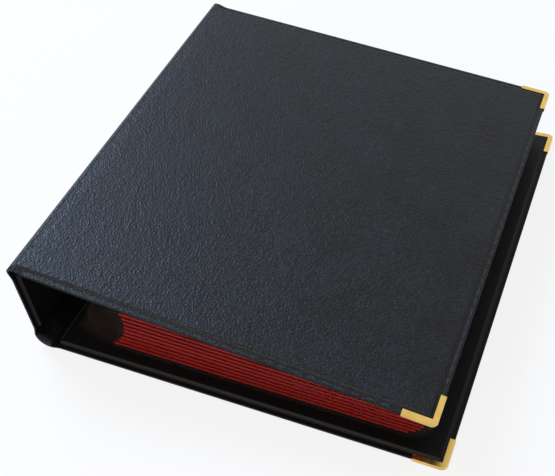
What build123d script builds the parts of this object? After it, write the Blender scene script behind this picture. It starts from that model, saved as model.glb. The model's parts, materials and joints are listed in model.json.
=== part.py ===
import math
import os

from build123d import *

# Coin album in millimetres: a leatherette case of three padded panels, a four-ring
# mechanism on the spine, and ten clear pocket leaves, each with a red card.
# The origin is under the middle of the back cover, +X runs to the fore edge,
# +Y along the spine and +Z up through the closed album.

# Case, measured on its outer planes
cover_width = 240.0
cover_height = 270.0
spine_depth = 63.4
spine_lean = 4.9
cover_slope = 6.0

# Layers of a panel, and the welded flange around it
skin = 0.8
lining = 0.6
board = 2.8
foam = 1.0
flange_width = 4.0
flange_rise = 1.2
outline_radius = 3.0
board_gap = 0.4

# Folds: the two sheets alone, bent round these outer radii
back_fold_radius = 8.0
front_fold_radius = 3.0
fold_axis_depth = 1.4
fold_gap = 0.8
fold_lip = 4.0

# Brass corners, which grip the flange
brass = 0.5
brass_width = 2.5
brass_leg = 17.5
brass_clearance = 0.05

# Ring mechanism, placed along the spine from the back fold's corner
rail_centre = 22.8
rail_length = 214.0
rail_half_width = 9.0
rail_rise = 8.0
rail_sheet = 1.0
ring_places = (-90.0, -30.0, 30.0, 90.0)
ring_radius = 17.0
ring_height = 20.1
wire_radius = 1.5
ring_tip_gap = 0.2
wire_slot_width = 4.4
wire_slot_start = 4.2
toggle_seat = 1.2
toggle_sheet = 1.2
toggle_width = 6.6
toggle_gap = 0.5
toggle_setback = 5.0
rivet_places = (-60.0, 60.0)
rivet_radius = 1.6
rivet_head_radius = 3.2
rivet_head = 1.0
rivet_room = 1.0
pin_radius = 0.8
pin_seat = 3.6
pin_setback = 2.0
knuckle_wall = 0.9
lever_half_width = 5.0
lever_sheet = 1.4
lever_reach = 16.0
lever_room = 0.6
running_clearance = 0.05

# Leaves: a punched binding strip and a pocket welded to it
leaf_count = 10
leaf_height = 250.0
pocket_width = 180.0
pocket_thickness = 2.2
film = 0.3
pocket_weld = 3.0
pocket_foot = 2.0
strip_width = 20.0
strip_thickness = 0.6
strip_radius = 5.0
hole_inset = 9.0
hole_length = 11.0
hole_width = 6.5
leaf_clearance = 0.3
leaf_pitch = 3.5
fore_edge_pitch = 2.8
first_hole = 10.0
hole_pitch = 2.5
card_margin = 1.0

half_height = cover_height / 2
pad_half = half_height - flange_width
weld_level = flange_rise + skin
plain_depth = skin + board + lining
padded_depth = plain_depth + foam
first_leaf = plain_depth + leaf_clearance + pocket_thickness / 2


def heading(angle):
    """Unit vector in the XZ plane, turned up from +X by an angle in degrees."""
    return Vector(math.cos(math.radians(angle)), 0, math.sin(math.radians(angle)))


# Each panel's frame: x runs along the panel from the fold's corner and z into the album
back_corner = Vector(-cover_width / 2, 0, 0)
front_corner = back_corner + heading(90 + spine_lean) * spine_depth
back_frame = Plane(origin=back_corner, x_dir=heading(0), z_dir=heading(90))
spine_frame = Plane(origin=back_corner, x_dir=heading(90 + spine_lean), z_dir=heading(spine_lean))
front_frame = Plane(
    origin=front_corner, x_dir=heading(-cover_slope), z_dir=heading(-90 - cover_slope)
)

back_fold_angle = 90 + spine_lean
front_fold_angle = 90 - spine_lean - cover_slope


def corner_run(depth, angle):
    """Distance from a fold's corner to where a circle of this radius meets the panels."""
    return depth / math.tan(math.radians(angle / 2))


back_run = corner_run(back_fold_radius, back_fold_angle)
front_run = corner_run(front_fold_radius, front_fold_angle)
back_fold_axis = back_corner + Vector(
    corner_run(fold_axis_depth, back_fold_angle), 0, fold_axis_depth
)
front_fold_axis = front_frame.from_local_coords(
    Vector(corner_run(fold_axis_depth, front_fold_angle), 0, fold_axis_depth)
)

# Span of each panel along its own frame: first edge, last edge, last edge is a fold
back_span = (back_run + fold_gap, cover_width, False)
spine_span = (back_run, spine_depth - front_run, True)
front_span = (front_run + fold_gap, cover_width, False)


def span_rectangle(first, last, width):
    """Rectangle from first to last along a frame's x, centred on its y."""
    with Locations(((first + last) / 2, 0)):
        Rectangle(last - first, width)


def padded_limits(span):
    """Where the padded part of a panel starts and ends."""
    first, last, folds_at_end = span
    return first + fold_lip, last - (fold_lip if folds_at_end else flange_width)


def pocket_limits(span):
    """Room between the walls of skin and lining, for the board."""
    pad_first, pad_last = padded_limits(span)
    return pad_first + lining, pad_last - (lining if span[2] else skin)


def make_skin(frame, span):
    """Outer sheet: face, walls round the board and the outer half of the flange."""
    first, last, folds_at_end = span
    pad_first, pad_last = padded_limits(span)
    wall_end = pad_last - (0 if folds_at_end else skin)
    with BuildPart() as piece:
        with BuildSketch(frame):
            span_rectangle(first, last if folds_at_end else pad_last, 2 * pad_half)
        extrude(amount=skin)
        with BuildSketch(frame.offset(skin)):
            span_rectangle(pad_first, pad_last, 2 * pad_half)
        extrude(amount=flange_rise)
        with BuildSketch(frame.offset(flange_rise)):
            span_rectangle(pad_first, pad_last if folds_at_end else last, cover_height)
            if not folds_at_end:
                fillet(vertices().group_by(Axis.X)[-1], outline_radius)
        extrude(amount=skin)
        with BuildSketch(frame.offset(skin)):
            span_rectangle(pad_first, wall_end, 2 * (pad_half - skin))
        extrude(amount=flange_rise, mode=Mode.SUBTRACT)
    return piece


def make_lining(frame, span, depth):
    """Inner sheet: face, walls and the inner half of the flange, down to the fold."""
    first, last, folds_at_end = span
    pad_first, pad_last = padded_limits(span)
    room_first, room_last = pocket_limits(span)
    with BuildPart() as piece:
        with BuildSketch(frame.offset(weld_level)):
            span_rectangle(pad_first, pad_last, 2 * pad_half)
        extrude(amount=depth - weld_level)
        with BuildSketch(frame.offset(weld_level)):
            span_rectangle(pad_first, pad_last if folds_at_end else last, cover_height)
            if not folds_at_end:
                fillet(vertices().group_by(Axis.X)[-1], outline_radius)
        extrude(amount=lining)
        with BuildSketch(frame.offset(skin)):
            span_rectangle(first, pad_first, 2 * pad_half)
            if folds_at_end:
                span_rectangle(pad_last, last, 2 * pad_half)
        extrude(amount=lining)
        with BuildSketch(frame.offset(skin)):
            span_rectangle(pad_first, room_first, 2 * (pad_half - skin))
            if folds_at_end:
                span_rectangle(room_last, pad_last, 2 * (pad_half - skin))
        extrude(amount=flange_rise)
        with BuildSketch(frame.offset(weld_level)):
            span_rectangle(room_first, room_last, 2 * (pad_half - skin))
        extrude(amount=depth - weld_level - lining, mode=Mode.SUBTRACT)
    return piece


def make_layer(frame, span, bottom, thickness):
    """Board or foam, loose between the walls by board_gap."""
    room_first, room_last = pocket_limits(span)
    with BuildPart() as piece:
        with BuildSketch(frame.offset(bottom)):
            span_rectangle(
                room_first + board_gap, room_last - board_gap, 2 * (pad_half - skin - board_gap)
            )
        extrude(amount=thickness)
    return piece


def make_fold(frame, radius, run, first_angle, last_angle):
    """Two sheets bent round a fold, between the outward headings of its panels."""
    centre = frame.from_local_coords(Vector(run, 0, radius))
    with BuildPart() as piece:
        with BuildSketch(Plane.XZ):
            with BuildLine():
                middle = (centre.X, centre.Z)
                outer = CenterArc(middle, radius, first_angle, last_angle - first_angle)
                inner = CenterArc(
                    middle, radius - skin - lining, first_angle, last_angle - first_angle
                )
                Line(outer @ 0, inner @ 0)
                Line(outer @ 1, inner @ 1)
            make_face()
        extrude(amount=pad_half, both=True)
    return piece


def make_corner(frame, side):
    """Brass channel folded over the flange at one fore-edge corner."""
    outer_leg = brass_leg + brass
    grip = skin + lining + 2 * brass_clearance
    with BuildPart() as piece:
        with BuildSketch(frame.offset(flange_rise - brass_clearance - brass)):
            outer_middle = cover_width + brass - outer_leg / 2
            with Locations((outer_middle, side * (half_height + brass - outer_leg / 2))):
                Rectangle(outer_leg, outer_leg)
            outer_corner = vertices().group_by(Axis.X)[-1].sort_by(Axis.Y)[-1 if side > 0 else 0]
            fillet(outer_corner, outline_radius + brass)
            inner_leg = brass_leg - brass_width
            inner_middle = cover_width - brass_width - inner_leg / 2
            with Locations((inner_middle, side * (half_height - brass_width - inner_leg / 2))):
                Rectangle(inner_leg, inner_leg, mode=Mode.SUBTRACT)
        extrude(amount=grip + 2 * brass)
        with BuildSketch(frame.offset(flange_rise - brass_clearance)):
            span_rectangle(0, cover_width, cover_height)
            fillet(vertices().group_by(Axis.X)[-1], outline_radius)
        extrude(amount=grip, mode=Mode.SUBTRACT)
    return piece


def finish(piece, name):
    """Label a piece and write it under its node's name."""
    piece.part.label = name
    export_step(piece.part, f"parts/{name}.step")


os.makedirs("parts", exist_ok=True)

# Case
back_cover_skin = make_skin(back_frame, back_span)
back_lining = make_lining(back_frame, back_span, plain_depth)
back_board = make_layer(back_frame, back_span, skin, board)
front_cover_skin = make_skin(front_frame, front_span)
front_lining = make_lining(front_frame, front_span, padded_depth)
front_foam_pad = make_layer(front_frame, front_span, skin, foam)
front_board = make_layer(front_frame, front_span, skin + foam, board)
spine_skin = make_skin(spine_frame, spine_span)
back_hinge_strip = make_fold(
    back_frame, back_fold_radius, back_run, 180 + spine_lean, 270
)
front_hinge_strip = make_fold(
    front_frame, front_fold_radius, front_run, 90 - cover_slope, 180 + spine_lean
)

# Ring mechanism.
# Its section plane: x is the depth from the spine's outer plane, y runs up the spine
rail_origin = spine_frame.from_local_coords(Vector(rail_centre, 0, 0))
section = Plane(origin=rail_origin, x_dir=heading(spine_lean), z_dir=(0, -1, 0))
# The same place seen from inside the album: x runs up the spine
seat = Plane(origin=rail_origin, x_dir=heading(90 + spine_lean), z_dir=heading(spine_lean))
rail_half = rail_length / 2
ring_depth = plain_depth + ring_height
arch_radius = (rail_half_width**2 + rail_rise**2) / (2 * rail_rise)
arch_centre = plain_depth + rail_rise - arch_radius
rail_top = plain_depth + rail_rise
toggle_bottom = plain_depth + toggle_seat
toggle_top = toggle_bottom + toggle_sheet
toggle_axis_depth = toggle_bottom + toggle_sheet / 2
pin_depth = plain_depth + pin_seat
pin_place = rail_half - pin_setback
lever_opening = lever_half_width + lever_room
rivet_hole_radius = rivet_radius + running_clearance
pin_hole_radius = pin_radius + running_clearance
pin_half = math.sqrt(arch_radius**2 - (pin_depth - arch_centre) ** 2)
ring_centre = section.from_local_coords(Vector(ring_depth, 0, 0))
toggle_axis = section.from_local_coords(Vector(toggle_axis_depth, 0, 0))


with BuildPart() as rivet_holes:
    with BuildSketch(seat.offset(skin)):
        with Locations([(0, place) for place in rivet_places]):
            Circle(rivet_hole_radius)
    extrude(amount=rail_top - skin)


def pin_plane(end):
    """Plane through a lever's pin, with x into the album and z up the spine."""
    return Plane(
        origin=section.from_local_coords(Vector(pin_depth, 0, -end * pin_place)),
        x_dir=heading(spine_lean),
        z_dir=heading(90 + spine_lean),
    )


with BuildPart() as spine_lining:
    add(make_lining(spine_frame, spine_span, plain_depth).part)
    add(rivet_holes.part, mode=Mode.SUBTRACT)

with BuildPart() as spine_board:
    add(make_layer(spine_frame, spine_span, skin, board).part)
    add(rivet_holes.part, mode=Mode.SUBTRACT)

with BuildPart() as rail_cover:
    with BuildSketch(section):
        with Locations((arch_centre, 0)):
            Circle(arch_radius)
            Circle(arch_radius - rail_sheet, mode=Mode.SUBTRACT)
        with Locations((plain_depth - arch_radius, 0)):
            Rectangle(2 * arch_radius, 2 * arch_radius, mode=Mode.SUBTRACT)
    extrude(amount=rail_half, both=True)
    # slots where the wires come out, on both sides
    slot_run = rail_half_width - wire_slot_start + 1
    with BuildSketch(seat.offset(plain_depth)):
        for side in (-1, 1):
            slot_middle = side * (wire_slot_start + slot_run / 2)
            with Locations([(slot_middle, place) for place in ring_places]):
                Rectangle(slot_run, wire_slot_width)
    extrude(amount=rail_rise, mode=Mode.SUBTRACT)
    # open ends for the levers, between two ears
    opening_length = pin_setback + pin_hole_radius + knuckle_wall + lever_room
    with BuildSketch(seat.offset(plain_depth)):
        for end in (-1, 1):
            with Locations((0, end * (rail_half - opening_length / 2))):
                Rectangle(2 * lever_opening, opening_length)
    extrude(amount=rail_rise, mode=Mode.SUBTRACT)
    for end in (-1, 1):
        with BuildSketch(pin_plane(end)):
            Circle(pin_hole_radius)
        extrude(amount=rail_half_width, both=True, mode=Mode.SUBTRACT)
    add(rivet_holes.part, mode=Mode.SUBTRACT)

with BuildPart() as rail_rivets:
    with BuildSketch(seat.offset(skin)):
        with Locations([(0, place) for place in rivet_places]):
            Circle(rivet_radius)
    extrude(amount=rail_top - skin)
    with BuildSketch(seat.offset(rail_top)):
        with Locations([(0, place) for place in rivet_places]):
            Circle(rivet_head_radius)
    extrude(amount=rivet_head)

with BuildPart() as lever_pins:
    for end in (-1, 1):
        with BuildSketch(pin_plane(end)):
            Circle(pin_radius)
        extrude(amount=pin_half, both=True)


def make_toggle(side):
    """One of the two plates under the rail that carry the ring halves."""
    length = 2 * (rail_half - toggle_setback)
    with BuildPart() as piece:
        with BuildSketch(seat.offset(toggle_bottom)):
            with Locations((side * (toggle_gap / 2 + toggle_width) / 2, 0)):
                Rectangle(toggle_width - toggle_gap / 2, length)
            with Locations([(0, place) for place in rivet_places]):
                Circle(rivet_radius + rivet_room, mode=Mode.SUBTRACT)
        extrude(amount=toggle_sheet)
    return piece


def make_ring_half(side, place):
    """Half of a ring, from its tip to where it lies on its toggle."""
    tip_angle = side * math.degrees(ring_tip_gap / 2 / ring_radius)
    root_angle = side * (180 - math.degrees(math.asin(toggle_gap / ring_radius)))
    with BuildPart() as piece:
        with BuildLine(section.offset(-place)) as route:
            CenterArc((ring_depth, 0), ring_radius, tip_angle, root_angle - tip_angle)
        with BuildSketch(Plane(origin=route.line @ 0, z_dir=route.line % 0)):
            Circle(wire_radius)
        sweep(path=route.line)
        split(bisect_by=seat.offset(toggle_top), keep=Keep.TOP)
    return piece


def make_lever(end):
    """Release lever: a rounded tab standing on a knuckle round its pin."""
    with BuildPart() as piece:
        with BuildSketch(pin_plane(end)):
            Circle(pin_hole_radius + knuckle_wall)
        extrude(amount=lever_half_width, both=True)
        tab_plane = Plane(
            origin=pin_plane(end).origin - Vector(0, lever_sheet / 2, 0),
            x_dir=heading(90 + spine_lean),
            z_dir=(0, 1, 0),
        )
        with BuildSketch(tab_plane):
            with Locations((0, lever_reach / 2)):
                Rectangle(2 * lever_half_width, lever_reach)
            fillet(vertices().group_by(Axis.Y)[-1], lever_half_width - knuckle_wall)
        extrude(amount=lever_sheet)
        with BuildSketch(pin_plane(end)):
            Circle(pin_hole_radius)
        extrude(amount=rail_half_width, both=True, mode=Mode.SUBTRACT)
    return piece


# Leaves
half_leaf = leaf_height / 2
half_strip = strip_thickness / 2
hole_to_pocket = strip_width - hole_inset
binding_heights = [first_leaf + leaf_pitch * number for number in range(leaf_count)]
card_thickness = pocket_thickness - 2 * film
card_width = pocket_width - 2 * pocket_weld - 2 * card_margin


def leaf_frames(number):
    """Frames of one leaf's pocket and of its strip, both starting at the pocket's edge."""
    hole_height = first_hole + hole_pitch * number
    hole_x = ring_centre.X + math.sqrt(ring_radius**2 - (hole_height - ring_centre.Z) ** 2)
    binding_height = binding_heights[number]
    climb = hole_height - binding_height
    edge_x = hole_x + math.sqrt(hole_to_pocket**2 - climb**2)
    fore_edge_height = first_leaf + fore_edge_pitch * number
    tilt = math.degrees(math.asin((binding_height - fore_edge_height) / pocket_width))
    strip_angle = 180 - math.degrees(math.asin(climb / hole_to_pocket))
    corner = Vector(edge_x, 0, binding_height)
    pocket = Plane(origin=corner, x_dir=heading(-tilt), z_dir=heading(90 - tilt))
    strip = Plane(origin=corner, x_dir=heading(strip_angle), z_dir=heading(strip_angle - 90))
    return pocket, strip


def make_sheet(number):
    """Clear pocket, open at its rear end, with its punched strip."""
    pocket, strip = leaf_frames(number)
    with BuildPart() as piece:
        with BuildSketch(pocket.offset(-pocket_thickness / 2)):
            span_rectangle(0, pocket_width, leaf_height)
        extrude(amount=pocket_thickness)
        with BuildSketch(strip.offset(-half_strip)):
            span_rectangle(-pocket_weld / 2, strip_width, leaf_height)
            fillet(vertices().group_by(Axis.X)[-1], strip_radius)
            with Locations([(hole_to_pocket, place) for place in ring_places]):
                SlotOverall(hole_length, hole_width, mode=Mode.SUBTRACT)
        extrude(amount=strip_thickness)
        room_length = leaf_height - pocket_foot
        with BuildSketch(pocket.offset(-card_thickness / 2)):
            with Locations((pocket_width / 2, pocket_foot / 2)):
                Rectangle(pocket_width - 2 * pocket_weld, room_length)
        extrude(amount=card_thickness, mode=Mode.SUBTRACT)
    return piece


def make_card(number):
    """Red card that fills a leaf's pocket."""
    pocket = leaf_frames(number)[0]
    with BuildPart() as piece:
        with BuildSketch(pocket.offset(-card_thickness / 2)):
            with Locations((pocket_width / 2, 0)):
                Rectangle(card_width, leaf_height - 2 * pocket_foot)
        extrude(amount=card_thickness)
    return piece


# Single pieces
singles = {
    "back_cover_skin": back_cover_skin,
    "back_board": back_board,
    "back_lining": back_lining,
    "back_hinge_strip": back_hinge_strip,
    "spine_skin": spine_skin,
    "spine_board": spine_board,
    "spine_lining": spine_lining,
    "front_hinge_strip": front_hinge_strip,
    "front_cover_skin": front_cover_skin,
    "front_foam_pad": front_foam_pad,
    "front_board": front_board,
    "front_lining": front_lining,
    "rail_cover": rail_cover,
    "rail_rivets": rail_rivets,
    "lever_pins": lever_pins,
    "lever_front": make_lever(-1),
    "lever_rear": make_lever(1),
    "toggle_upper": make_toggle(1),
    "toggle_lower": make_toggle(-1),
    "corner_back_front": make_corner(back_frame, -1),
    "corner_back_rear": make_corner(back_frame, 1),
    "corner_cover_front": make_corner(front_frame, 1),
    "corner_cover_rear": make_corner(front_frame, -1),
}
for name, piece in singles.items():
    finish(piece, name)

# Repeated pieces, numbered from the front ring and from the lowest leaf
for number, place in enumerate(ring_places, start=1):
    finish(make_ring_half(1, place), f"ring_upper_{number}")
    finish(make_ring_half(-1, place), f"ring_lower_{number}")
for number in range(leaf_count):
    finish(make_sheet(number), f"pocket_sheet_{number + 1:02d}")
    finish(make_card(number), f"red_card_{number + 1:02d}")
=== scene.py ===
import bpy
import bmesh
import json
import math
from mathutils import Matrix, Vector


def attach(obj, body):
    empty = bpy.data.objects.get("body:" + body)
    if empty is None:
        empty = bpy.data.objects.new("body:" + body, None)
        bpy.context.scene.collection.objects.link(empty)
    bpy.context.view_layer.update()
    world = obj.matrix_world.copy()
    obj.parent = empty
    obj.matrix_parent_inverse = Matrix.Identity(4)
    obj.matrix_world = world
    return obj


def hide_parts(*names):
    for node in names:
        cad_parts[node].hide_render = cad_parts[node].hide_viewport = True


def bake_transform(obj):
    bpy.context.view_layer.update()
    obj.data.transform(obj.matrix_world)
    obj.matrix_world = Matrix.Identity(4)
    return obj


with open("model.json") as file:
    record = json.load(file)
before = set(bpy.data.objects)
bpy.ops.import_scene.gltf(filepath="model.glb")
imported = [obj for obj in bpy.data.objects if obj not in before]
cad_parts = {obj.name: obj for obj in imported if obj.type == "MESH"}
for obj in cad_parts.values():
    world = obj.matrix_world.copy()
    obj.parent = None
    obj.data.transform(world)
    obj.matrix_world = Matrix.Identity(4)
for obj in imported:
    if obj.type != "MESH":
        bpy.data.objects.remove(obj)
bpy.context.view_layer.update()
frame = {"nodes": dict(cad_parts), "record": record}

mm = 0.001

# The case as the frame holds it: three panels that meet at two folds
album = {
    "coverWidth": 240 * mm,
    "coverHeight": 270 * mm,
    "spineDepth": 63.4 * mm,
    "spineLean": 4.9,       # degrees past upright
    "coverSlope": 6.0,      # degrees down towards the fore edge
    "plainDepth": 4.2 * mm,
    "paddedDepth": 5.2 * mm,
}


def toLinear(hexColour, alpha=1.0):
    channels = []
    for start in (1, 3, 5):
        value = int(hexColour[start:start + 2], 16) / 255
        channels.append(value / 12.92 if value <= 0.04045 else ((value + 0.055) / 1.055) ** 2.4)
    return (*channels, alpha)


def grey(value):
    return (value, value, value)


def addNode(tree, kind, settings=None, links=None):
    # settings: attribute or socket name to value; links: socket name to another node's output
    node = tree.nodes.new(kind)
    for name, value in (settings or {}).items():
        if isinstance(name, int) or name in node.inputs:
            node.inputs[name].default_value = value
        else:
            setattr(node, name, value)
    for name, output in (links or {}).items():
        tree.links.new(output, node.inputs[name])
    return node


def newMaterial(name):
    material = bpy.data.materials.new(name)
    material.use_nodes = True
    material.node_tree.nodes.clear()
    return material, material.node_tree


def heading(angle):
    return Vector((math.cos(math.radians(angle)), 0, math.sin(math.radians(angle))))


def finishMaterial(tree, shader):
    addNode(tree, "ShaderNodeOutputMaterial", links={"Surface": shader})


def fadeRamp(tree, fac, stops):
    # stops: position and grey value or colour
    ramp = addNode(tree, "ShaderNodeValToRGB", links={"Fac": fac})
    elements = ramp.color_ramp.elements
    while len(elements) < len(stops):
        elements.new(0.5)
    for element, (position, colour) in zip(elements, stops):
        element.position = position
        element.color = colour if len(colour) == 4 else (*colour, 1)
    return ramp


print("materials")

leatherette = {
    "base": "#0b0a09",
    "wornAndSheen": "#343a42",       # cool grey where the top coat is scuffed; the cool tint is a painted sheen of the window's light
    "pebble": 1.1,           # mm between the embossed pebbles
    "crease": 4.5,           # mm between the longer creases
    "scuffPatch": 30,        # mm across a scuffed patch
    "scuffMark": 2.4,        # mm across a single mark
    "creaseWeight": 1.4,     # crease depth against pebble depth
    "emboss": 0.3,           # mm, full depth of the grain
    "roughness": 0.34,
    "scuffRoughness": 0.26,  # added where the top coat is scuffed
    "scuffSheenShare": 0.6,       # how far the scuffed colour, with its painted cool sheen, covers the base
}


def makeLeatherette():
    # PVC on cloth, embossed with a fine hide grain: dark, semi-gloss, with a broken highlight, partly a
    # painted cool sheen in the scuffed colour
    material, tree = newMaterial("embossedPvcLeatherette")
    place = addNode(tree, "ShaderNodeTexCoord").outputs["Object"]
    pebbles = addNode(tree, "ShaderNodeTexVoronoi",
                      {"feature": "SMOOTH_F1", "Scale": 1000 / leatherette["pebble"], "Smoothness": 0.6,
                       "Randomness": 1.0}, {"Vector": place})
    creases = addNode(tree, "ShaderNodeTexNoise",
                      {"Scale": 1000 / leatherette["crease"], "Detail": 5.0, "Roughness": 0.62,
                       "Distortion": 0.8}, {"Vector": place})
    patches = addNode(tree, "ShaderNodeTexNoise",
                      {"Scale": 1000 / leatherette["scuffPatch"], "Detail": 4.0, "Roughness": 0.6},
                      {"Vector": place})
    marks = addNode(tree, "ShaderNodeTexNoise",
                    {"Scale": 1000 / leatherette["scuffMark"], "Detail": 6.0, "Roughness": 0.72,
                     "Distortion": 1.4}, {"Vector": place})
    patchRamp = fadeRamp(tree, patches.outputs["Fac"], [(0.34, grey(0.12)), (0.66, grey(1.0))])
    markRamp = fadeRamp(tree, marks.outputs["Fac"], [(0.44, grey(0.0)), (0.68, grey(1.0))])
    scuffs = addNode(tree, "ShaderNodeMath", {"operation": "MULTIPLY"},
                     {0: patchRamp.outputs["Color"], 1: markRamp.outputs["Color"]})
    scuffSheenAmount = addNode(tree, "ShaderNodeMath", {"operation": "MULTIPLY", 1: leatherette["scuffSheenShare"]},
                          {0: scuffs.outputs[0]})
    # mix in the scuffed colour, real wear whose cool tint is painted sheen
    colour = addNode(tree, "ShaderNodeMix", {"data_type": "RGBA"})
    colour.inputs[6].default_value = toLinear(leatherette["base"])
    colour.inputs[7].default_value = toLinear(leatherette["wornAndSheen"])
    tree.links.new(scuffSheenAmount.outputs[0], colour.inputs[0])
    gloss = addNode(tree, "ShaderNodeMapRange",
                    {"From Min": 0.0, "From Max": 0.6, "To Min": leatherette["roughness"],
                     "To Max": leatherette["roughness"] + leatherette["scuffRoughness"]},
                    {"Value": scuffs.outputs[0]})
    creaseHeight = addNode(tree, "ShaderNodeMath", {"operation": "MULTIPLY", 1: leatherette["creaseWeight"]},
                           {0: creases.outputs["Fac"]})
    height = addNode(tree, "ShaderNodeMath", {"operation": "ADD"},
                     {0: pebbles.outputs["Distance"], 1: creaseHeight.outputs[0]})
    bump = addNode(tree, "ShaderNodeBump", {"Strength": 0.9, "Distance": leatherette["emboss"] * mm},
                   {"Height": height.outputs[0]})
    shader = addNode(tree, "ShaderNodeBsdfPrincipled",
                     {"IOR": 1.5, "Specular IOR Level": 0.2},
                     {"Base Color": colour.outputs[2], "Roughness": gloss.outputs[0],
                      "Normal": bump.outputs[0]})
    finishMaterial(tree, shader.outputs[0])
    return material


lining = {"dark": "#050505", "light": "#0c0b0c", "grain": 0.8, "cloud": 40, "emboss": 0.1}   # sizes in mm


def makeLiningFilm():
    # calendered PVC film, matt black with a faint linen emboss; the black is darkened further as painted
    # shade of the album's inside
    material, tree = newMaterial("calenderedPvcLining")
    place = addNode(tree, "ShaderNodeTexCoord").outputs["Object"]
    grain = addNode(tree, "ShaderNodeTexNoise", {"Scale": 1000 / lining["grain"], "Detail": 3.0},
                    {"Vector": place})
    cloud = addNode(tree, "ShaderNodeTexNoise", {"Scale": 1000 / lining["cloud"], "Detail": 3.0},
                    {"Vector": place})
    # both tones are darker than the black film itself: painted shade of the album's inside
    tone = fadeRamp(tree, cloud.outputs["Fac"],
                    [(0.3, toLinear(lining["dark"])), (0.75, toLinear(lining["light"]))])
    bump = addNode(tree, "ShaderNodeBump", {"Strength": 0.25, "Distance": lining["emboss"] * mm},
                   {"Height": grain.outputs["Fac"]})
    shader = addNode(tree, "ShaderNodeBsdfPrincipled",
                     {"Roughness": 0.55, "IOR": 1.5, "Specular IOR Level": 0.15},
                     {"Base Color": tone.outputs["Color"], "Normal": bump.outputs[0]})
    finishMaterial(tree, shader.outputs[0])
    return material


metalFinishes = {   # rub: mm between the rubbing marks
    "lacqueredBrassPlate": {"light": "#e3c272", "dark": "#d3ae5c", "roughness": 0.2, "rub": 6.0},
    "brightNickelPlate": {"light": "#cfd0d2", "dark": "#b5b7ba", "roughness": 0.16, "rub": 2.2},
    "zincPlatedSteel": {"light": "#a9adb3", "dark": "#8f949b", "roughness": 0.38, "rub": 1.4},
}


def makeMetal(name):
    # plated sheet: fine rubbing marks change its gloss and tone a little
    finish = metalFinishes[name]
    material, tree = newMaterial(name)
    place = addNode(tree, "ShaderNodeTexCoord").outputs["Object"]
    rub = addNode(tree, "ShaderNodeTexNoise",
                  {"Scale": 1000 / finish["rub"], "Detail": 6.0, "Roughness": 0.7}, {"Vector": place})
    tone = fadeRamp(tree, rub.outputs["Fac"],
                    [(0.35, toLinear(finish["dark"])), (0.65, toLinear(finish["light"]))])
    gloss = addNode(tree, "ShaderNodeMapRange",
                    {"From Min": 0.3, "From Max": 0.7, "To Min": finish["roughness"] - 0.06,
                     "To Max": finish["roughness"] + 0.08},
                    {"Value": rub.outputs["Fac"]})
    bump = addNode(tree, "ShaderNodeBump", {"Strength": 0.08, "Distance": 0.0001},
                   {"Height": rub.outputs["Fac"]})
    shader = addNode(tree, "ShaderNodeBsdfPrincipled", {"Metallic": 1.0},
                     {"Base Color": tone.outputs["Color"], "Roughness": gloss.outputs[0],
                      "Normal": bump.outputs[0]})
    finishMaterial(tree, shader.outputs[0])
    return material


# the film's pinkish grey tint is painted sheen of the red cards' light, not a colour of the clear film
pocketFilm = {"pinkSheenTint": "#5a4c4c", "share": 0.06, "ripple": 60, "rippleDepth": 0.6}   # sizes in mm


def makeClearFilm():
    # plasticised PVC film: clear, glossy, slightly rippled; its pinkish tint is a painted sheen of the red
    # cards' light in the film's edges
    material, tree = newMaterial("clearPvcFilm")
    place = addNode(tree, "ShaderNodeTexCoord").outputs["Object"]
    ripple = addNode(tree, "ShaderNodeTexNoise", {"Scale": 1000 / pocketFilm["ripple"], "Detail": 1.0},
                     {"Vector": place})
    bump = addNode(tree, "ShaderNodeBump",
                   {"Strength": 0.12, "Distance": pocketFilm["rippleDepth"] * mm},
                   {"Height": ripple.outputs["Fac"]})
    shader = addNode(tree, "ShaderNodeBsdfPrincipled",
                     {"Base Color": toLinear(pocketFilm["pinkSheenTint"]), "Roughness": 0.07, "IOR": 1.53,
                      "Alpha": pocketFilm["share"]}, {"Normal": bump.outputs[0]})
    finishMaterial(tree, shader.outputs[0])
    return material


fibreColours = {
    "redPulpDyedCard": ("#bd140c", "#960c07"),
    "greyBinderBoard": ("#8f8b84", "#7d7973"),
    "blackPolyesterThread": ("#4a4d55", "#2c2e33"),
}


def makeFibre(name):
    # uncoated card, board or spun thread: matt, with a faint fibre mottle
    light, dark = fibreColours[name]
    material, tree = newMaterial(name)
    place = addNode(tree, "ShaderNodeTexCoord").outputs["Object"]
    fibre = addNode(tree, "ShaderNodeTexNoise",
                    {"Scale": 1000 / 1.2, "Detail": 5.0, "Roughness": 0.7}, {"Vector": place})
    tone = fadeRamp(tree, fibre.outputs["Fac"], [(0.3, toLinear(dark)), (0.7, toLinear(light))])
    bump = addNode(tree, "ShaderNodeBump", {"Strength": 0.2, "Distance": 0.00008},
                   {"Height": fibre.outputs["Fac"]})
    shader = addNode(tree, "ShaderNodeBsdfPrincipled",
                     {"Roughness": 0.7, "IOR": 1.47, "Specular IOR Level": 0.25},
                     {"Base Color": tone.outputs["Color"], "Normal": bump.outputs[0]})
    finishMaterial(tree, shader.outputs[0])
    return material


def makeFoam():
    # open-cell foam, pale and matt
    material, tree = newMaterial("paddingFoam")
    place = addNode(tree, "ShaderNodeTexCoord").outputs["Object"]
    cells = addNode(tree, "ShaderNodeTexVoronoi", {"Scale": 1000 / 0.7}, {"Vector": place})
    tone = fadeRamp(tree, cells.outputs["Distance"],
                    [(0.1, toLinear("#c9c5b8")), (0.7, toLinear("#e4e1d6"))])
    shader = addNode(tree, "ShaderNodeBsdfPrincipled", {"Roughness": 0.9},
                     {"Base Color": tone.outputs["Color"]})
    finishMaterial(tree, shader.outputs[0])
    return material


leather = makeLeatherette()
liningFilm = makeLiningFilm()
brass = makeMetal("lacqueredBrassPlate")
nickel = makeMetal("brightNickelPlate")
zinc = makeMetal("zincPlatedSteel")
clearFilm = makeClearFilm()
redCard = makeFibre("redPulpDyedCard")
greyboard = makeFibre("greyBinderBoard")
foam = makeFoam()
thread = makeFibre("blackPolyesterThread")

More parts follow.
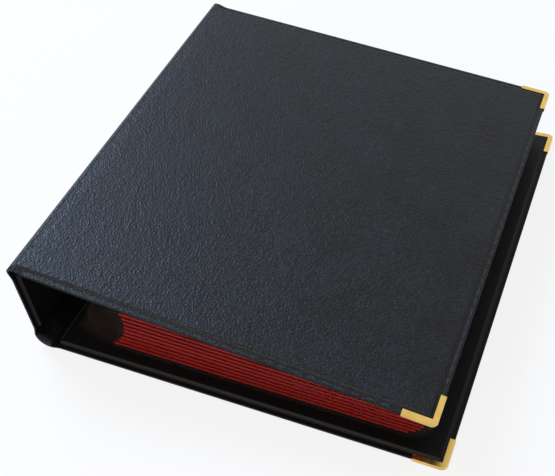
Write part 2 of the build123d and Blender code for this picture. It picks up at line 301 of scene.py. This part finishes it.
slotMaterials = {
    "leatherette": leather, "lining": liningFilm, "greyboard": greyboard, "foam": foam,
    "brass": brass, "nickel": nickel, "zinc_steel": zinc, "clear_film": clearFilm,
    "red_card": redCard,
}

print("CAD nodes")
edgeRadius = {"brass": 0.12 * mm, "nickel": 0.15 * mm}   # softened edges that catch the light
for entry in frame["record"]["subparts"]:
    node = frame["nodes"][entry["node"]]
    slotName = entry["material_slot"]
    if not node.material_slots:
        node.data.materials.append(slotMaterials[slotName])
    for materialSlot in node.material_slots:
        materialSlot.material = slotMaterials[slotName]
    if slotName in edgeRadius and not node.name.startswith("ring"):
        bevel = node.modifiers.new("edge", "BEVEL")
        bevel.width = edgeRadius[slotName]
        bevel.segments = 2
        bevel.limit_method = "ANGLE"
        bevel.angle_limit = math.radians(50)


# Frames of the three panels: a corner, the way along from the fold, and the way into the album
backCorner = Vector((-album["coverWidth"] / 2, 0, 0))
frontCorner = backCorner + heading(90 + album["spineLean"]) * album["spineDepth"]


def panelPoint(panel, run, across, depth):
    return (panel["origin"] + panel["along"] * run + panel["inward"] * depth
            + Vector((0, across, 0)))


backPanel = {"origin": backCorner, "along": heading(0), "inward": heading(90)}
spinePanel = {"origin": backCorner, "along": heading(90 + album["spineLean"]),
              "inward": heading(album["spineLean"])}
frontPanel = {"origin": frontCorner, "along": heading(-album["coverSlope"]),
              "inward": heading(-90 - album["coverSlope"])}

# What a panel's covering looks like in section, in from its free edges
covering = {
    "flangeFace": 1.2 * mm,      # depth of the welded flange's outer face
    "liningFlange": 2.6 * mm,
    "sheet": 0.7 * mm,
    "liningSheet": 0.5 * mm,
    "flangeWidth": 2.5 * mm,
    "grooveDepth": 0.3 * mm,
    "grooveWidth": 0.8 * mm,
    "shoulder": 1.5 * mm,        # run over which the padding rises from the groove
    "outlineRadius": 3.0 * mm,
    "edgeDrop": 0.18 * mm,       # how far the cut edge turns in
    "edgeRun": 0.5 * mm,
    "crown": 0.25 * mm,          # how far the padding stands up
    "crownRun": 26 * mm,
    "liningStep": 1.6 * mm,
    "cell": 3.0 * mm,            # spacing of the grid
}


def smooth(value):
    value = min(max(value, 0.0), 1.0)
    return value * value * (3 - 2 * value)


def outerDepth(inset, padding):
    # depth of the outer sheet's face at a distance in from the free edge
    flange = covering["flangeFace"]
    if inset < covering["flangeWidth"]:
        return flange + covering["edgeDrop"] * (1 - smooth(inset / covering["edgeRun"]))
    into = inset - covering["flangeWidth"]
    if into < covering["grooveWidth"]:
        return flange + covering["grooveDepth"] * math.sin(math.pi * into / covering["grooveWidth"])
    rise = smooth((into - covering["grooveWidth"]) / covering["shoulder"])
    crown = padding * smooth(into / covering["crownRun"])
    return flange * (1 - rise) - crown


def liningDepth(inset, depth):
    # the lining's face: flange, then a soft step up to the board
    if inset < covering["flangeWidth"]:
        return covering["liningFlange"]
    rise = smooth((inset - covering["flangeWidth"]) / covering["liningStep"])
    return covering["liningFlange"] + (depth - covering["liningFlange"]) * rise


def stations(first, last, denseFirst, denseLast):
    # grid lines from first to last: close together beside a free edge or a fold, then wide
    fine = [0, 0.15, 0.35, 0.6, 1.2, 2.0, 2.8, 3.3, 3.5, 3.75, 4.0, 4.2, 4.5, 4.9, 5.3, 5.7, 6.1,
            6.8, 8.0, 10.0]
    plain = [0, 0.5, 1.5, 3.0, 4.0, 4.6, 5.4, 6.4, 8.0, 10.0]
    head = [step * mm for step in (fine if denseFirst else plain)]
    tail = [step * mm for step in (fine if denseLast else plain)]
    low, high = first + head[-1], last - tail[-1]
    count = max(2, round((high - low) / covering["cell"]))
    middle = [low + (high - low) * step / count for step in range(1, count)]
    return [first + step for step in head] + middle + [last - step for step in reversed(tail)]


def roundCorner(run, across, last, half):
    # pulls points of the two fore-edge corners in to the outline's radius
    radius = covering["outlineRadius"]
    runIn, acrossIn = last - run, half - abs(across)
    if runIn < radius and acrossIn < radius:
        offset = Vector((radius - runIn, radius - acrossIn))
        reach = max(offset.x, offset.y)
        if offset.length > 0:
            offset = offset * (reach / offset.length)
        return last - radius + offset.x, math.copysign(half - radius + offset.y, across)
    return run, across


def freeInset(run, across, last, half, foldAtEnd):
    # distance in from the nearest free edge, round the fore-edge corners too
    acrossIn = half - abs(across)
    if foldAtEnd:
        return acrossIn
    runIn = last - run
    radius = covering["outlineRadius"]
    if runIn < radius and acrossIn < radius:
        return radius - Vector((radius - runIn, radius - acrossIn)).length
    return min(runIn, acrossIn)


def sheetPiece(name, panel, span, face, thickness, material, body, replaced):
    # a covering sheet: a grid that follows face(run, across), given thickness by Solidify
    first, last, half, foldAtEnd = span
    runs = stations(first, last, False, not foldAtEnd)
    acrosses = stations(-half, half, True, True)
    mesh = bpy.data.meshes.new(name)
    points, faces = [], []
    for run in runs:
        for across in acrosses:
            placed = (run, across) if foldAtEnd else roundCorner(run, across, last, half)
            inset = freeInset(*placed, last, half, foldAtEnd)
            depth = face(inset, placed[0])
            points.append(panelPoint(panel, placed[0], placed[1], depth))
    columns = len(acrosses)
    for row in range(len(runs) - 1):
        for column in range(columns - 1):
            corner = row * columns + column
            faces.append((corner, corner + 1, corner + columns + 1, corner + columns))
    mesh.from_pydata(points, [], faces)
    piece = bpy.data.objects.new(name, mesh)
    bpy.context.collection.objects.link(piece)
    # all normals point the same way: out of the album for a skin, into it for a lining
    outward = panel["inward"] * (-1 if thickness > 0 else 1)
    if mesh.polygons[0].normal.dot(outward) < 0:
        mesh.flip_normals()
    for polygon in mesh.polygons:
        polygon.use_smooth = True
    mesh.materials.append(material)
    solid = piece.modifiers.new("sheet", "SOLIDIFY")
    solid.thickness = abs(thickness)
    solid.offset = -1.0
    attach(piece, body)
    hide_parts(*replaced)


print("covers")
backRun = 7.34 * mm          # where the folds' bends meet the panels
frontRun = 3.63 * mm
foldGap = 0.8 * mm
half = album["coverHeight"] / 2
panels = [
    ("back", backPanel, (backRun + foldGap, album["coverWidth"], half, False), "back_cover",
     album["plainDepth"], 0.0, ("back_cover_skin",), ("back_lining",)),
    ("spine", spinePanel, (backRun, album["spineDepth"] - frontRun, half, True), "spine",
     album["plainDepth"], 0.0, ("spine_skin",), ("spine_lining",)),
    ("front", frontPanel, (frontRun + foldGap, album["coverWidth"], half, False), "front_cover",
     album["paddedDepth"], covering["crown"], ("front_cover_skin",), ("front_lining",)),
]
foldLip = 4 * mm             # where the lining starts to rise from the bare sheets
foldSheets = 1.4 * mm
foldFade = 7 * mm            # run over which a skin's flange fades out beside a fold
for name, panel, span, body, depth, crown, skinNodes, liningNodes in panels:
    first, last, _, foldAtEnd = span

    def skinFace(inset, run, crown=crown, first=first, last=last, foldAtEnd=foldAtEnd):
        # beside a fold the sheet runs out flat, flange and all
        toFold = min(run - first, last - run) if foldAtEnd else run - first
        return outerDepth(inset, crown) * smooth(toFold / foldFade)

    def liningFace(inset, run, depth=depth, first=first, last=last, foldAtEnd=foldAtEnd):
        # the lining drops to the bare sheets beside a fold
        toFold = min(run - first, last - run) if foldAtEnd else run - first
        raised = smooth((toFold - foldLip) / covering["liningStep"])
        edge = liningDepth(inset, depth)
        return foldSheets + (edge - foldSheets) * raised if toFold < foldLip * 2 else edge

    sheetPiece(f"{name}Leatherette", panel, span, skinFace, covering["sheet"], leather,
               body, skinNodes)
    sheetPiece(f"{name}LiningFilm", panel, span, liningFace, -covering["liningSheet"], liningFilm,
               body, liningNodes)

print("folds")
fold = {
    "backRadius": 8 * mm, "frontRadius": 3 * mm,
    "reach": 1.2 * mm,       # flat strip past each end of the bend
    "sheet": 1.36 * mm,      # both sheets, welded
    "below": 0.02 * mm,      # how far it lies under the panels' faces
    "steps": 14, "columns": 60,
}


def foldPiece(name, corner, radius, run, angles, ends, node):
    # one bent strip from panel to panel, with a flat reach onto each
    firstAngle, lastAngle = angles
    centre = corner + ends[0] * run - heading(firstAngle) * radius
    outer = radius - fold["below"]
    section = []
    for step in range(fold["steps"] + 1):
        angle = firstAngle + (lastAngle - firstAngle) * step / fold["steps"]
        section.append((centre + heading(angle) * outer, heading(angle)))
    section.insert(0, (section[0][0] + ends[0] * (foldGap + fold["reach"]), heading(firstAngle)))
    section.append((section[-1][0] + ends[1] * fold["reach"], heading(lastAngle)))
    count = fold["columns"]
    points, faces = [], []
    for point, _ in section:
        for column in range(count + 1):
            across = -half + 2 * half * column / count
            points.append(point + Vector((0, across, 0)))
    for row in range(len(section) - 1):
        for column in range(count):
            start = row * (count + 1) + column
            faces.append((start, start + 1, start + count + 2, start + count + 1))
    mesh = bpy.data.meshes.new(name)
    mesh.from_pydata(points, [], faces)
    if mesh.polygons[0].normal.dot(section[0][1]) < 0:
        mesh.flip_normals()
    for polygon in mesh.polygons:
        polygon.use_smooth = True
    mesh.materials.append(leather)
    piece = bpy.data.objects.new(name, mesh)
    bpy.context.collection.objects.link(piece)
    solid = piece.modifiers.new("sheet", "SOLIDIFY")
    solid.thickness = fold["sheet"]
    solid.offset = -1.0
    with bpy.context.temp_override(object=piece, active_object=piece, selected_objects=[piece]):
        bpy.ops.object.modifier_apply(modifier="sheet")
    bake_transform(piece)
    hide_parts(node)


spineUp = heading(90 + album["spineLean"])
foldPiece("backFold", backCorner, fold["backRadius"], backRun, (270, 180 + album["spineLean"]),
          (backPanel["along"], spineUp), "back_hinge_strip")
foldPiece("frontFold", frontCorner, fold["frontRadius"], frontRun,
          (90 - album["coverSlope"], 180 + album["spineLean"]), (frontPanel["along"], -spineUp),
          "front_hinge_strip")

print("stitches")
stitch = {
    "pitch": 7.7 * mm, "length": 5.2 * mm, "width": 0.55 * mm, "rise": 0.22 * mm, "inset": 1.5 * mm,
    "foldRoom": 6 * mm,      # bare flange beside the first fold
    "cornerRoom": 20 * mm,   # bare flange under a brass corner
    "endRoom": 2 * mm,       # bare flange beside the second fold
    "bothCorners": 42 * mm,
}


def addStitch(mesh, centre, along, out, side):
    # a short thread, thick in the middle and tucked in at both ends
    rings, segments = 7, 6
    previous = None
    for ring in range(rings):
        part = ring / (rings - 1)
        swell = math.sin(math.pi * part) ** 0.5 if 0 < part < 1 else 0.0
        middle = centre + along * stitch["length"] * (part - 0.5) + out * stitch["rise"] * (swell - 0.8)
        loop = []
        for segment in range(segments):
            turn = 2 * math.pi * segment / segments
            reach = stitch["width"] / 2 * (0.35 + 0.65 * swell)
            loop.append(mesh.verts.new(middle + side * reach * math.cos(turn)
                                       + out * reach * math.sin(turn)))
        if previous:
            for segment in range(segments):
                after = (segment + 1) % segments
                mesh.faces.new((previous[segment], previous[after], loop[after], loop[segment]))
        else:
            mesh.faces.new(loop[::-1])
        previous = loop
    mesh.faces.new(previous)


def stitchPiece(name, panel, span, body):
    first, last, spanHalf, foldAtEnd = span
    build = bmesh.new()
    out = -panel["inward"]
    depth = covering["flangeFace"]
    acrossAxis = Vector((0, 1, 0))
    sideLast = last - (stitch["endRoom"] if foldAtEnd else stitch["cornerRoom"])
    count = int((sideLast - first - stitch["foldRoom"]) / stitch["pitch"])
    for edge in (-1, 1):
        across = edge * (spanHalf - stitch["inset"])
        for number in range(count):
            run = first + stitch["foldRoom"] + stitch["pitch"] * (number + 0.5)
            addStitch(build, panelPoint(panel, run, across, depth), panel["along"], out, acrossAxis)
    if not foldAtEnd:
        count = int((2 * spanHalf - stitch["bothCorners"]) / stitch["pitch"])
        for number in range(count):
            across = (number - (count - 1) / 2) * stitch["pitch"]
            addStitch(build, panelPoint(panel, last - stitch["inset"], across, depth),
                      acrossAxis, out, panel["along"])
    bmesh.ops.recalc_face_normals(build, faces=build.faces)
    mesh = bpy.data.meshes.new(name)
    build.to_mesh(mesh)
    build.free()
    for polygon in mesh.polygons:
        polygon.use_smooth = True
    mesh.materials.append(thread)
    piece = bpy.data.objects.new(name, mesh)
    bpy.context.collection.objects.link(piece)
    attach(piece, body)


for name, panel, span, body, *_ in panels:
    stitchPiece(f"{name}Stitches", panel, span, body)

print("studio")
studio = {
    "floorSize": 6.0,
    "floor": "#f4f4f4",
    "whiteShare": 0.85,      # how much of the floor is plain white to the camera
    "world": 0.32,
    "window": {"energy": 72.0, "size": 1.1, "place": (-1.55, 0.8, 1.6), "colour": "#b6d2fc"},
    "fill": {"energy": 19.0, "size": 1.2, "place": (-0.3, -1.7, 0.45), "colour": "#ffeeda"},
}


def seenDirectly(tree):
    # 1 for what the camera sees, directly or through gloss and clear film
    rays = addNode(tree, "ShaderNodeLightPath")
    glossy = addNode(tree, "ShaderNodeMath", {"operation": "MAXIMUM"},
                     {0: rays.outputs["Is Camera Ray"], 1: rays.outputs["Is Glossy Ray"]})
    every = addNode(tree, "ShaderNodeMath", {"operation": "MAXIMUM"},
                    {0: glossy.outputs[0], 1: rays.outputs["Is Transmission Ray"]})
    return every.outputs[0]


def backdropMaterial():
    # seen white by the camera and in reflections; takes the album's shadow
    material, tree = newMaterial("paleFloor")
    diffuse = addNode(tree, "ShaderNodeBsdfDiffuse", {"Color": toLinear(studio["floor"])})
    white = addNode(tree, "ShaderNodeEmission", {"Strength": 1.0})
    share = addNode(tree, "ShaderNodeMath", {"operation": "MULTIPLY", 1: studio["whiteShare"]},
                    {0: seenDirectly(tree)})
    mixed = addNode(tree, "ShaderNodeMixShader", None,
                    {"Fac": share.outputs[0], 1: diffuse.outputs[0], 2: white.outputs[0]})
    finishMaterial(tree, mixed.outputs[0])
    return material


floorMesh = bpy.data.meshes.new("floor")
reach = studio["floorSize"] / 2
floorMesh.from_pydata([(-reach, -reach, 0), (reach, -reach, 0), (reach, reach, 0), (-reach, reach, 0)], [],
                      [(0, 1, 2, 3)])
floorMesh.materials.append(backdropMaterial())
floorObject = bpy.data.objects.new("floor", floorMesh)
floorObject.location.z = -0.2 * mm
bpy.context.collection.objects.link(floorObject)

world = bpy.data.worlds.new("studioWorld")
bpy.context.scene.world = world
world.use_nodes = True
worldTree = world.node_tree
worldTree.nodes.clear()
seen = addNode(worldTree, "ShaderNodeMix", {"data_type": "FLOAT", 2: studio["world"], 3: 1.0},
               {0: seenDirectly(worldTree)})
sky = addNode(worldTree, "ShaderNodeBackground", {"Color": (1, 1, 1, 1)}, {"Strength": seen.outputs[0]})
addNode(worldTree, "ShaderNodeOutputWorld", links={"Surface": sky.outputs[0]})

for name in ("window", "fill"):
    lampValues = studio[name]
    lampData = bpy.data.lights.new(name, "AREA")
    lampData.energy = lampValues["energy"]
    lampData.size = lampValues["size"]
    lampData.color = toLinear(lampValues["colour"])[:3]
    lamp = bpy.data.objects.new(name, lampData)
    lamp.location = lampValues["place"]
    lamp.rotation_euler = (-Vector(lampValues["place"])).to_track_quat("-Z", "Y").to_euler()
    bpy.context.collection.objects.link(lamp)

view = {
    "place": (164.8 * mm, -405.2 * mm, 445.8 * mm),
    "yaw": -27.54, "pitch": 44.01, "roll": -6.21,
    "lens": 64.5, "shift": (0.0568, -0.0467),
}
yaw, pitch, roll = (math.radians(view[key]) for key in ("yaw", "pitch", "roll"))
forward = Vector((math.sin(yaw) * math.cos(pitch), math.cos(yaw) * math.cos(pitch), -math.sin(pitch)))
level = Vector((math.cos(yaw), -math.sin(yaw), 0))
upright = level.cross(forward)
right = level * math.cos(roll) + upright * math.sin(roll)
up = upright * math.cos(roll) - level * math.sin(roll)
cameraData = bpy.data.cameras.new("camera")
cameraData.lens = view["lens"]
cameraData.sensor_width = 36
cameraData.shift_x, cameraData.shift_y = view["shift"]
camera = bpy.data.objects.new("camera", cameraData)
camera.matrix_world = Matrix.Translation(view["place"]) @ Matrix((right, up, -forward)).transposed().to_4x4()
bpy.context.collection.objects.link(camera)
bpy.context.scene.camera = camera
bpy.context.scene.view_settings.view_transform = "Standard"

print("finish")
